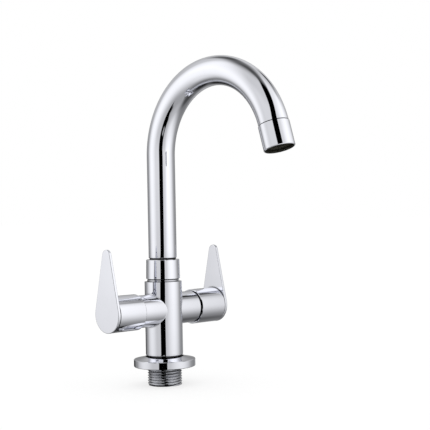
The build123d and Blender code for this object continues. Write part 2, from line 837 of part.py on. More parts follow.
# The hot side's valve and handle mirror the cold side's
paired_pieces = {
    "gland": gland,
    "gland_o_ring": gland_o_ring,
    "seat_seal": seat_seal,
    "fixed_disc": fixed_disc,
    "moving_disc": moving_disc,
    "spindle": spindle,
    "spindle_o_rings": spindle_o_rings,
    "slip_washer": slip_washer,
    "circlip": circlip,
    "handle_hub": handle_hub,
    "handle_paddle": handle_paddle,
    "paddle_screw": paddle_screw,
    "spline_insert": spline_insert,
    "grub_screw": grub_screw,
}
for name, piece in paired_pieces.items():
    cold_piece = piece.part
    cold_piece.label = f"cold_{name}"
    export_step(cold_piece, f"parts/cold_{name}.step")
    hot_piece = mirror(cold_piece, about=Plane.YZ)
    hot_piece.label = f"hot_{name}"
    export_step(hot_piece, f"parts/hot_{name}.step")
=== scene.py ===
"""Looks of the centre hole basin mixer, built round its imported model. All sizes are in metres."""
import json
import math

import bmesh
import bpy
from mathutils import Matrix, Vector


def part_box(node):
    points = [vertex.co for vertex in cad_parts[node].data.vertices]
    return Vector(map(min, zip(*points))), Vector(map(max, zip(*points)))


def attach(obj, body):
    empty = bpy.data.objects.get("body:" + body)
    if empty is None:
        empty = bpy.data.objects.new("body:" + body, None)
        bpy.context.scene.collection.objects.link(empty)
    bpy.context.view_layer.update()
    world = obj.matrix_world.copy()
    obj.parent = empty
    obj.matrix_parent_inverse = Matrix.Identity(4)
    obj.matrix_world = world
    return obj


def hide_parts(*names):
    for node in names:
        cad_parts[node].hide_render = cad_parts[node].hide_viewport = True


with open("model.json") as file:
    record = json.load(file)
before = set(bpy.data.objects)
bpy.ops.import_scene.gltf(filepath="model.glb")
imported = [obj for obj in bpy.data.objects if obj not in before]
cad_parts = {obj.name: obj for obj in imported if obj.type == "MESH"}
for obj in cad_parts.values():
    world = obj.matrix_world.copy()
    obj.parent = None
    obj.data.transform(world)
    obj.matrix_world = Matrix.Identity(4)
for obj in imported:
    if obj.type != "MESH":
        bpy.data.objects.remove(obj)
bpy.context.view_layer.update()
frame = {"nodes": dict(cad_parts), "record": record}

# Where the photograph was taken from, in degrees and metres
camera_azimuth = -41.898
camera_distance = 0.8302
camera_height = 0.1196
camera_yaw = -2.875
camera_pitch = -0.147
camera_roll = -1.090
camera_lens = 0.0885
sensor_width = 0.036

# The picture cuts the shank's thread off at this height, and so does the floor, which is white by a glow
floor_height = -0.0145
floor_reach = 12.0
floor_colour = (0.3, 0.3, 0.3, 1)
floor_glow = (0.72, 0.72, 0.72, 1)

# A round light tent of pale cloth, with the camera in a dark slit of it. Its angles are in degrees, and a
# pair of them says where a change begins and ends.
tent_radius = 0.84
tent_height = 0.12
tent_rings = 48
tent_sides = 96

# How bright the cloth is in front, and behind the object low down and high up
front_light = 0.65
back_low_light = 0.27
back_high_light = 0.51
back_climb = (2.0, 26.0)
front_to_back = (55.0, 147.0)

# It is brighter on both sides of the camera, level with the object and above
bright_turn = (45.0, 75.0)
bright_from = (-9.0, 5.0)
bright_until = (32.0, 50.0)
bright_gain = 0.16

# It is darker overhead and low down
ceiling_fade = (62.0, 92.0)
ceiling_loss = 0.62
low_fade = (0.0, 51.0)
low_loss = 0.415

# Gaps and thin places in the cloth: turn, rise, where each begins and ends to fade, and how much darker it
# is, or below 0 how much brighter
cloth_places = (
    (-157.0, -22.0, 9.0, 22.0, 0.9),
    (-171.0, -50.0, 6.0, 20.0, 0.85),
    (-172.0, 62.0, 5.0, 18.0, 0.75),
    (136.0, -62.0, 6.0, 22.0, 0.6),
    (131.0, 44.5, 3.0, 12.0, 0.95),
    (111.0, 43.0, 2.0, 10.0, 0.5),
    (-20.0, -47.0, 3.0, 9.0, 0.9),
    (165.0, 78.0, 5.0, 26.0, 0.6),
    (60.0, 77.0, 4.0, 17.0, 0.72),
    (70.0, 50.0, 8.0, 36.0, -0.38),
    (150.0, 50.0, 8.0, 30.0, -0.25),
    (-125.0, 58.0, 8.0, 30.0, -0.2),
    (165.0, -18.0, 6.0, 20.0, -0.7),
    (42.0, -50.0, 8.0, 35.0, -0.4),
    (-105.0, -36.0, 6.0, 18.0, -0.25),
)

# The slit leans a little, so its top stands to the right, and it narrows twice as it climbs
slit_lean = 14.9
slit_turn = 1.3
slit_half_width = 14.2
slit_edge = 0.6
slit_upper = (22.0, 42.0)
slit_upper_shift = 1.8
slit_tip = (55.0, 75.0)
slit_tip_blur = 3.0
slit_narrowing = 2.8
slit_top = (69.0, 89.0)
slit_foot = (-51.0, -47.0)
slit_foot_slope = 0.7

# A paler stretch low in the slit, so that the flat paddles aren't black from behind
pale_turn = -3.3
pale_half_width = 5.3
pale_rise = -22.4
pale_half_height = 5.0
pale_edge = 0.9
pale_amount = 0.6

# How far a light panel fades in from its left edge
panel_fade = 0.12

# Noise of the finishes: where its masks begin and end, and how much of the grain shows in the roughness
noise_low = 0.35
noise_high = 0.68
smudge_detail = 4.0
grain_detail = 2.0
grain_share = 0.15

# How many rays look for what is close to a surface, for the painted shade in seams
seam_samples = 12

# Spout: one bent tube, as long and as wide as its node
tube_low, tube_high = (Vector(corner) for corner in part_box("spout_tube"))
tube_radius = tube_high.x
tube_wall = 0.0012
tube_foot = tube_low.z
tube_foot_round = 0.0007
seam_width = 0.00035
seam_depth = 0.0008
bend_radius = 0.061
bend_height = tube_high.z - bend_radius - tube_radius
bend_angle = 163.5
tube_sides = 96
straight_steps = 16
bend_steps = 140
inner_bend_steps = 50
round_steps = 6

# Threaded shank: a plain neck in the column, then the thread
shank_low, shank_high = (Vector(corner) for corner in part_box("shank"))
thread_radius = shank_high.x
thread_depth = 0.00115
thread_crest = 0.00024
thread_pitch = 0.002
thread_fade = 0.0008
thread_sides = 96
steps_per_turn = 12
thread_end = 0.0012
shank_bore_radius = 0.0105
shank_neck_radius = 0.012
shank_edge = 0.0004

# Base flange: nearly straight on top, with a dark gap between it and the bead at the column's foot
flange_low, flange_high = (Vector(corner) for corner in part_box("base_flange"))
flange_radius = flange_high.x
flange_bore_radius = 0.0122
flange_rim_height = 0.0058
flange_edge = 0.0004
flange_brow_radius = 0.0149
flange_brow_height = 0.0079
flange_hollow = 0.0002
flange_top_steps = 24
foot_gap_radius = 0.0132
foot_gap_floor = 0.0060
gasket_inner_radius = 0.0146
gasket_outer_radius = 0.0204
gasket_thickness = 0.0016
column_radius = 0.0146
bead_inner_radius = 0.01383
bead_low = 0.00915
bead_high = 0.01018
bead_round = 0.0003
turned_sides = 160

# Steel screen of the aerator
screen_low, screen_high = (Vector(corner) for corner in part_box("aerator_screen"))
screen_radius = screen_high.x
screen_pitch = 0.0008
screen_wire_radius = 0.00011
points_per_wire = 97
wire_sides = 6


# Node trees
def link(tree, source, target):
    """Joins two sockets of a node tree."""
    tree.links.new(source, target)


def feed(tree, socket, value):
    """Gives an input socket a plain value or another node's output."""
    if isinstance(value, bpy.types.NodeSocket):
        link(tree, value, socket)
    else:
        socket.default_value = value


def math_node(tree, operation, *values):
    """A math node with its inputs filled in order."""
    node = tree.nodes.new("ShaderNodeMath")
    node.operation = operation
    for socket, value in zip(node.inputs, values):
        feed(tree, socket, value)
    return node.outputs[0]


def vector_node(tree, operation, *values):
    """A vector math node with its inputs filled in order."""
    node = tree.nodes.new("ShaderNodeVectorMath")
    node.operation = operation
    for socket, value in zip(node.inputs, values):
        feed(tree, socket, value)
    return node.outputs["Value" if operation in ("DOT_PRODUCT", "LENGTH") else "Vector"]


def soft_edge(tree, value, inner, outer):
    """1 up to the inner limit, 0 past the outer one, and smooth between them."""
    node = tree.nodes.new("ShaderNodeMapRange")
    node.interpolation_type = "SMOOTHSTEP"
    feed(tree, node.inputs["Value"], value)
    feed(tree, node.inputs["From Min"], inner)
    feed(tree, node.inputs["From Max"], outer)
    feed(tree, node.inputs["To Min"], 1.0)
    feed(tree, node.inputs["To Max"], 0.0)
    return node.outputs["Result"]


def outside(tree, value, inner, outer):
    """0 up to the inner limit, 1 past the outer one."""
    return math_node(tree, "SUBTRACT", 1.0, soft_edge(tree, value, inner, outer))


def between(tree, amount, low, high):
    """A value between two others."""
    return math_node(tree, "MULTIPLY_ADD", amount, high - low, low)


def new_group(name, inputs, outputs, kind="ShaderNodeTree"):
    """A node group with named sockets, each given as (name, kind, value)."""
    group = bpy.data.node_groups.new(name, kind)
    for label, socket_kind, value in inputs:
        socket = group.interface.new_socket(label, in_out="INPUT", socket_type=socket_kind)
        if value is not None:
            socket.default_value = value
    for label, socket_kind in outputs:
        group.interface.new_socket(label, in_out="OUTPUT", socket_type=socket_kind)
    entry = group.nodes.new("NodeGroupInput")
    leave = group.nodes.new("NodeGroupOutput")
    return group, entry.outputs, leave.inputs


def use_group(tree, group, **values):
    """Places a group in a tree and fills its inputs, with spaces written as underscores."""
    node = tree.nodes.new("ShaderNodeGroup")
    node.node_tree = group
    for label, value in values.items():
        feed(tree, node.inputs[label.replace("_", " ")], value)
    return node.outputs


def emission_material(name, light, see_through=False):
    """A material that only glows; a see-through one adds its light to what is behind it."""
    material = bpy.data.materials.new(name)
    material.use_nodes = True
    tree = material.node_tree
    tree.nodes.clear()
    glow = tree.nodes.new("ShaderNodeEmission")
    link(tree, light(tree), glow.inputs["Strength"])
    surface = glow.outputs[0]
    if see_through:
        both = tree.nodes.new("ShaderNodeAddShader")
        link(tree, surface, both.inputs[0])
        link(tree, tree.nodes.new("ShaderNodeBsdfTransparent").outputs[0], both.inputs[1])
        surface = both.outputs[0]
    out = tree.nodes.new("ShaderNodeOutputMaterial")
    link(tree, surface, out.inputs["Surface"])
    return material


def new_object(name, points, faces, material):
    """A mesh object at the origin."""
    mesh = bpy.data.meshes.new(name)
    mesh.from_pydata(points, [], faces)
    mesh.materials.append(material)
    obj = bpy.data.objects.new(name, mesh)
    bpy.context.scene.collection.objects.link(obj)
    return obj


# Studio: directions are in degrees, turned from the camera's to the right as the object sees it, and up
def direction(turn, rise):
    """The unit vector of a direction in the studio."""
    angle = math.radians(camera_azimuth + turn)
    level = math.cos(math.radians(rise))
    return Vector((math.sin(angle) * level, -math.cos(angle) * level, math.sin(math.radians(rise))))


def dim(tree, light, part, amount):
    """Takes an amount of the light away where part is 1."""
    return math_node(tree, "MULTIPLY", light, math_node(tree, "MULTIPLY_ADD", part, -amount, 1.0))


def turn_and_rise(tree, unit):
    """A unit vector's turn from the camera and its rise."""
    # After this rotation the camera stands at +Y and its right hand, seen from the object, at -X
    rotated = tree.nodes.new("ShaderNodeVectorRotate")
    rotated.rotation_type = "Z_AXIS"
    link(tree, unit, rotated.inputs["Vector"])
    rotated.inputs["Angle"].default_value = math.pi - math.radians(camera_azimuth)
    axes = tree.nodes.new("ShaderNodeSeparateXYZ")
    link(tree, rotated.outputs[0], axes.inputs[0])
    across = math_node(tree, "MULTIPLY", axes.outputs["X"], -1.0)
    turn = math_node(tree, "DEGREES", math_node(tree, "ARCTAN2", across, axes.outputs["Y"]))
    return turn, math_node(tree, "DEGREES", math_node(tree, "ARCSINE", axes.outputs["Z"]))


def cloth_light(tree, turn, rise):
    """Whole cloth, which is bright in front and darker behind, overhead and low down."""
    from_camera = math_node(tree, "ABSOLUTE", turn)
    fall = math_node(tree, "MULTIPLY", rise, -1.0)
    back = between(tree, outside(tree, rise, *back_climb), back_low_light, back_high_light)
    front = soft_edge(tree, from_camera, *front_to_back)
    light = math_node(tree, "MULTIPLY_ADD", math_node(tree, "SUBTRACT", front_light, back), front, back)
    level = math_node(tree, "MULTIPLY", outside(tree, rise, *bright_from),
                      soft_edge(tree, rise, *bright_until))
    bright = math_node(tree, "MULTIPLY", soft_edge(tree, from_camera, *bright_turn), level)
    light = dim(tree, light, bright, -bright_gain)
    light = dim(tree, light, outside(tree, rise, *ceiling_fade), ceiling_loss)
    return dim(tree, light, outside(tree, fall, *low_fade), low_loss)


def slit_mask(tree, unit):
    """1 in the dark slit."""
    lean = math.radians(slit_lean)
    aim = direction(-slit_turn, 0)
    side = direction(90 - slit_turn, 0)
    upright = Vector((0, 0, 1))
    slit_side = side * math.cos(lean) - upright * math.sin(lean)
    slit_up = side * math.sin(lean) + upright * math.cos(lean)
    across, up, ahead = (vector_node(tree, "DOT_PRODUCT", unit, tuple(axis))
                         for axis in (slit_side, slit_up, aim))
    off_centre = math_node(tree, "DEGREES", math_node(tree, "ARCSINE", across))
    climb = math_node(tree, "DEGREES", math_node(tree, "ARCTAN2", up, ahead))
    upper = outside(tree, climb, *slit_upper)
    tip = outside(tree, climb, *slit_tip)
    away = math_node(tree, "ABSOLUTE", math_node(tree, "MULTIPLY_ADD", upper, -slit_upper_shift, off_centre))
    half_width = math_node(tree, "MULTIPLY_ADD", upper, -slit_narrowing, slit_half_width)
    half_width = math_node(tree, "MULTIPLY_ADD", tip, -slit_narrowing, half_width)
    blur = math_node(tree, "MULTIPLY_ADD", tip, slit_tip_blur, slit_edge)
    sides = soft_edge(tree, away, math_node(tree, "SUBTRACT", half_width, blur),
                      math_node(tree, "ADD", half_width, blur))
    from_foot = math_node(tree, "MULTIPLY_ADD", off_centre, -slit_foot_slope, climb)
    ends = math_node(tree, "MULTIPLY", soft_edge(tree, climb, *slit_top),
                     outside(tree, from_foot, *slit_foot))
    return math_node(tree, "MULTIPLY", sides, ends)


def pale_band(tree, angle, middle, half):
    """1 close to a middle angle, as far as the slit's paler stretch goes."""
    away = math_node(tree, "ABSOLUTE", math_node(tree, "SUBTRACT", angle, middle))
    return soft_edge(tree, away, half - pale_edge, half + pale_edge)


def tent_light(tree):
    """The tent's cloth with its gaps and thin places, and the dark slit at the camera."""
    place = tree.nodes.new("ShaderNodeTexCoord").outputs["Object"]
    unit = vector_node(tree, "NORMALIZE", vector_node(tree, "SUBTRACT", place, (0, 0, tent_height)))
    turn, rise = turn_and_rise(tree, unit)
    light = cloth_light(tree, turn, rise)
    for place_turn, place_rise, inner, outer, amount in cloth_places:
        towards = vector_node(tree, "DOT_PRODUCT", unit, tuple(direction(place_turn, place_rise)))
        angle = math_node(tree, "DEGREES", math_node(tree, "ARCCOSINE", towards))
        light = dim(tree, light, soft_edge(tree, angle, inner, outer), amount)
    pale = math_node(tree, "MULTIPLY", pale_band(tree, turn, pale_turn, pale_half_width),
                     pale_band(tree, rise, pale_rise, pale_half_height))
    return dim(tree, light, dim(tree, slit_mask(tree, unit), pale, pale_amount), 1.0)


def only_in_reflections(obj):
    """Stage pieces that the chrome mirrors and nothing else sees."""
    obj.visible_camera = False
    obj.visible_diffuse = False
    obj.visible_transmission = False
    obj.visible_shadow = False


def tent():
    """The tent, a whole ball of cloth round the object."""
    points = []
    for i in range(tent_rings + 1):
        fall = math.pi * i / tent_rings
        for j in range(tent_sides):
            turn = 2 * math.pi * j / tent_sides
            points.append((tent_radius * math.sin(fall) * math.cos(turn),
                           tent_radius * math.sin(fall) * math.sin(turn),
                           tent_height + tent_radius * math.cos(fall)))
    faces = []
    for i in range(tent_rings):
        a, b = i * tent_sides, (i + 1) * tent_sides
        for j in range(tent_sides):
            k = (j + 1) % tent_sides
            faces.append((a + j, a + k, b + k, b + j))
    only_in_reflections(new_object("light_tent", points, faces, emission_material("tent_cloth", tent_light)))


def light_panel(name, turn, distance, height, half_width, half_height, brightness, lean):
    """A soft upright panel of light that faces the object, fades towards its edges and leans with height."""
    out = direction(turn, 0)
    side = Vector((-out.y, out.x, 0))

    def light(tree):
        """How bright the panel is from place to place."""
        place = tree.nodes.new("ShaderNodeTexCoord").outputs["Object"]
        offset = vector_node(tree, "DOT_PRODUCT", place, tuple(side))
        across = math_node(tree, "ABSOLUTE", offset)
        level = vector_node(tree, "DOT_PRODUCT", place, (0, 0, 1))
        up = math_node(tree, "ABSOLUTE", math_node(tree, "SUBTRACT", level, height))
        both = math_node(tree, "MULTIPLY", soft_edge(tree, across, 0.0, half_width),
                         soft_edge(tree, up, 0.0, half_height))
        from_edge = math_node(tree, "ADD", math_node(tree, "MULTIPLY_ADD", level, -lean, offset), half_width)
        both = math_node(tree, "MULTIPLY", both, outside(tree, from_edge, 0.0, panel_fade))
        return math_node(tree, "MULTIPLY", both, brightness)

    centre = out * distance + Vector((0, 0, height))
    corners = [centre + side * half_width * i + Vector((0, 0, half_height * j))
               for i, j in ((-1, -1), (1, -1), (1, 1), (-1, 1))]
    only_in_reflections(new_object(name, corners, [(0, 1, 2, 3)], emission_material(name, light, True)))


def floor():
    """A pale floor that shows white to the camera and keeps the object's soft shadow."""
    material = bpy.data.materials.new("pale_floor")
    material.use_nodes = True
    tree = material.node_tree
    tree.nodes.clear()
    cloth = tree.nodes.new("ShaderNodeBsdfDiffuse")
    cloth.inputs["Color"].default_value = floor_colour
    glow = tree.nodes.new("ShaderNodeEmission")
    glow.inputs["Color"].default_value = floor_glow
    both = tree.nodes.new("ShaderNodeAddShader")
    link(tree, cloth.outputs[0], both.inputs[0])
    link(tree, glow.outputs[0], both.inputs[1])
    out = tree.nodes.new("ShaderNodeOutputMaterial")
    link(tree, both.outputs[0], out.inputs["Surface"])
    r = floor_reach
    corners = [(-r, -r, floor_height), (r, -r, floor_height), (r, r, floor_height), (-r, r, floor_height)]
    plane = new_object("floor", corners, [(0, 1, 2, 3)], material)
    plane.visible_glossy = False


def world_light():
    """A white backdrop and even light all round."""
    world = bpy.data.worlds.new("studio")
    bpy.context.scene.world = world
    world.use_nodes = True
    back = world.node_tree.nodes["Background"]
    back.inputs["Color"].default_value = (1, 1, 1, 1)
    back.inputs["Strength"].default_value = 1.0


def camera():
    """The camera of the photograph, level with the middle of the column."""
    turn = math.radians(camera_azimuth)
    place = Vector((math.sin(turn) * camera_distance, -math.cos(turn) * camera_distance, camera_height))
    level = Matrix.Rotation(math.radians(camera_yaw), 3, "Z") @ Vector((-place.x, -place.y, 0)).normalized()
    pitch = math.radians(camera_pitch)
    ahead = level * math.cos(pitch) + Vector((0, 0, 1)) * math.sin(pitch)
    right = ahead.cross(Vector((0, 0, 1))).normalized()
    up = right.cross(ahead)
    roll = math.radians(camera_roll)
    turned_right = right * math.cos(roll) + up * math.sin(roll)
    turned_up = up * math.cos(roll) - right * math.sin(roll)
    data = bpy.data.cameras.new("camera")
    data.sensor_width = sensor_width * 1000
    data.lens = camera_lens * 1000
    view = bpy.data.objects.new("camera", data)
    bpy.context.scene.collection.objects.link(view)
    view.matrix_world = Matrix.Translation(place) @ Matrix(
        (turned_right, turned_up, -ahead)).transposed().to_4x4()
    bpy.context.scene.camera = view


# Finishes
def surface_marks():
    """Slow smudges and fine grain of a surface, each as a mask."""
    group, given, result = new_group(
        "surface_marks",
        [("Smudge Scale", "NodeSocketFloat", 60.0), ("Grain Scale", "NodeSocketFloat", 1500.0),
         ("Stretch", "NodeSocketVector", (1.0, 1.0, 1.0))],
        [("Smudge", "NodeSocketFloat"), ("Grain", "NodeSocketFloat")])
    place = group.nodes.new("ShaderNodeTexCoord").outputs["Object"]
    stretched = vector_node(group, "MULTIPLY", place, given["Stretch"])
    for label, source, detail in (("Smudge", place, smudge_detail), ("Grain", stretched, grain_detail)):
        noise = group.nodes.new("ShaderNodeTexNoise")
        link(group, source, noise.inputs["Vector"])
        link(group, given[label + " Scale"], noise.inputs["Scale"])
        noise.inputs["Detail"].default_value = detail
        middle = group.nodes.new("ShaderNodeMapRange")
        middle.interpolation_type = "SMOOTHSTEP"
        link(group, noise.outputs["Fac"], middle.inputs["Value"])
        middle.inputs["From Min"].default_value = noise_low
        middle.inputs["From Max"].default_value = noise_high
        link(group, middle.outputs["Result"], result[label])
    return group


def painted_seam_shade():
    """1 on open surfaces, falling in seams, grooves and thread roots: a mask of painted shade, lowest where
    other surfaces close in round a point.
    """
    group, given, result = new_group(
        "painted_seam_shade",
        [("Reach", "NodeSocketFloat", 0.001), ("Shut Below", "NodeSocketFloat", 0.15),
         ("Open From", "NodeSocketFloat", 0.75), ("Shade", "NodeSocketFloat", 0.05)],
        [("Openness", "NodeSocketFloat")])
    # Ambient occlusion here makes painted shade, for the base colour to fall dark in seams, grooves and gaps
    around = group.nodes.new("ShaderNodeAmbientOcclusion")
    around.samples = seam_samples
    link(group, given["Reach"], around.inputs["Distance"])
    open_part = group.nodes.new("ShaderNodeMapRange")
    open_part.interpolation_type = "SMOOTHSTEP"
    link(group, around.outputs["AO"], open_part.inputs["Value"])
    link(group, given["Shut Below"], open_part.inputs["From Min"])
    link(group, given["Open From"], open_part.inputs["From Max"])
    link(group, given["Shade"], open_part.inputs["To Min"])
    open_part.inputs["To Max"].default_value = 1.0
    link(group, open_part.outputs["Result"], result["Openness"])
    return group


def mixed(tree, amount, first, second):
    """A colour between two others."""
    node = tree.nodes.new("ShaderNodeMix")
    node.data_type = "RGBA"
    feed(tree, node.inputs["Factor"], amount)
    feed(tree, node.inputs["A"], first)
    feed(tree, node.inputs["B"], second)
    return node.outputs["Result"]


def finish(name, colours, roughness, smudges, grain, stretch=(1.0, 1.0, 1.0), metallic=0.0, relief=0.00001,
           specular=0.5, **narrow):
    """A finish from two close colours and two close roughnesses, with grain in relief and painted shade
    darkening its narrow places.

    Smudges and grain are scales of noise. What isn't named here is an input of the group painted_seam_shade."""
    material = bpy.data.materials.new(name)
    material.use_nodes = True
    tree = material.node_tree
    shader = tree.nodes["Principled BSDF"]
    shader.inputs["Metallic"].default_value = metallic
    shader.inputs["Specular IOR Level"].default_value = specular
    masks = use_group(tree, shared["surface_marks"], Smudge_Scale=smudges, Grain_Scale=grain, Stretch=stretch)
    clear = use_group(tree, shared["painted_seam_shade"], **narrow)
    plain = mixed(tree, masks["Smudge"], (*colours[0], 1), (*colours[1], 1))
    # Painted shade: the base colour falls towards black in seams, grooves and gaps
    shaded = mixed(tree, clear["Openness"], (0, 0, 0, 1), plain)
    link(tree, shaded, shader.inputs["Base Color"])
    both = math_node(tree, "ADD", masks["Smudge"], between(tree, masks["Grain"], -grain_share, grain_share))
    link(tree, between(tree, both, *roughness), shader.inputs["Roughness"])
    bump = tree.nodes.new("ShaderNodeBump")
    bump.inputs["Distance"].default_value = relief
    link(tree, masks["Grain"], bump.inputs["Height"])
    link(tree, bump.outputs["Normal"], shader.inputs["Normal"])
    return material


def bright_plating(name, **narrow):
    """Bright plating with the faintest smudges."""
    return finish(name, ((0.89, 0.90, 0.955), (0.87, 0.88, 0.933)), (0.022, 0.045), smudges=45.0,
                  grain=2600.0, metallic=1.0, relief=0.0000004, **narrow)


def polished_chrome():
    """The plating of all pieces but the flange and the shank, with painted shade darkening its seams and
    gaps.
    """
    return bright_plating("polished_chrome", Reach=0.0022, Shut_Below=0.4, Open_From=0.93, Shade=0.02)


def flange_chrome():
    """The same plating on the flange, whose top is darkened next to the column's foot by painted shade, which
    also stands in for the dark gap's reflection.
    """
    return bright_plating("flange_chrome", Reach=0.009, Shut_Below=0.55, Open_From=0.8, Shade=0.08)


def threaded_chrome():
    """Duller plating on the shank, with painted shade darkening the thread's roots."""
    return finish("threaded_chrome", ((0.87, 0.88, 0.92), (0.78, 0.79, 0.82)), (0.04, 0.12), smudges=90.0,
                  grain=2600.0, metallic=1.0, relief=0.000002, Reach=0.0015, Open_From=0.88, Shade=0.02)


def turned_brass():
    """Bare brass off the lathe, a little tarnished, with fine tool marks across the arm, and painted shade
    darkening it deep in gaps.
    """
    return finish("brass", ((0.78, 0.56, 0.25), (0.66, 0.45, 0.19)), (0.22, 0.34), smudges=120.0, grain=900.0,
                  stretch=(6.0, 0.4, 0.4), metallic=1.0, Reach=0.004, Open_From=0.9, Shade=0.02)


def stainless_steel():
    """Bright steel of the washers, screws, circlips and gauze, with painted shade darkening it inside the
    nozzle and other narrow places.
    """
    return finish("steel", ((0.62, 0.62, 0.61), (0.52, 0.52, 0.51)), (0.20, 0.32), smudges=150.0,
                  grain=1200.0, stretch=(1.0, 1.0, 5.0), metallic=1.0, relief=0.000008, Reach=0.005,
                  Open_From=0.9, Shade=0.02)


def black_rubber():
    """Matt rubber with a dusting of talc."""
    return finish("black_rubber", ((0.018, 0.018, 0.018), (0.035, 0.034, 0.033)), (0.72, 0.86), smudges=180.0,
                  grain=2200.0, relief=0.00003, specular=0.3)


def black_plastic():
    """Moulded black plastic with a slight sheen, of the glide ring, slip washers and splined inserts."""
    return finish("black_plastic", ((0.010, 0.010, 0.011), (0.018, 0.018, 0.019)), (0.38, 0.5), smudges=140.0,
                  grain=3000.0, specular=0.3)


def aerator_plastic():
    """Dark olive moulded plastic of the aerator, filmed with a little lime, with painted shade in its holes
    and recess.
    """
    return finish("aerator_plastic", ((0.020, 0.0195, 0.015), (0.036, 0.035, 0.028)), (0.5, 0.65),
                  smudges=260.0, grain=2500.0, specular=0.0, Reach=0.003, Open_From=0.9, Shade=0.1)


def white_ceramic():
    """Ground white ceramic of the valve discs."""
    return finish("white_ceramic", ((0.86, 0.85, 0.82), (0.80, 0.79, 0.76)), (0.12, 0.2), smudges=200.0,
                  grain=3500.0, relief=0.000004)


# Geometry nodes
def geometry_tree(name, inputs):
    """A geometry tree with a material input, its own inputs and one geometry output."""
    sockets = [("Geometry", "NodeSocketGeometry", None), *inputs, ("Material", "NodeSocketMaterial", None)]
    return new_group(name, sockets, [("Geometry", "NodeSocketGeometry")], "GeometryNodeTree")


def join_axes(tree, x, y, z):
    """A vector from three values."""
    node = tree.nodes.new("ShaderNodeCombineXYZ")
    for socket, value in zip(node.inputs, (x, y, z)):
        feed(tree, socket, value)
    return node.outputs[0]


def split_axes(tree, vector):
    """The three values of a vector."""
    node = tree.nodes.new("ShaderNodeSeparateXYZ")
    link(tree, vector, node.inputs[0])
    return node.outputs


def end_tree(tree, geometry, given, result, merge=0.000001):
    """Merges doubles, makes instances real and gives the material."""
    merged = tree.nodes.new("GeometryNodeMergeByDistance")
    link(tree, geometry, merged.inputs["Geometry"])
    merged.inputs["Distance"].default_value = merge
    real = tree.nodes.new("GeometryNodeRealizeInstances")
    link(tree, merged.outputs[0], real.inputs[0])
    painted = tree.nodes.new("GeometryNodeSetMaterial")
    link(tree, real.outputs[0], painted.inputs["Geometry"])
    link(tree, given["Material"], painted.inputs["Material"])
    link(tree, painted.outputs[0], result["Geometry"])


def baked_mesh(tree, values):
    """The plain mesh that a geometry tree makes from its named inputs."""
    holder = bpy.data.objects.new("holder", bpy.data.meshes.new("holder"))
    bpy.context.scene.collection.objects.link(holder)
    modifier = holder.modifiers.new("nodes", "NODES")
    modifier.node_group = tree
    for item in tree.interface.items_tree:
        if item.in_out == "INPUT" and item.name in values:
            modifier[item.identifier] = values[item.name]
    evaluated = holder.evaluated_get(bpy.context.evaluated_depsgraph_get())
    mesh = bpy.data.meshes.new_from_object(evaluated)
    holder.modifiers.remove(modifier)
    bpy.data.objects.remove(holder)
    return mesh


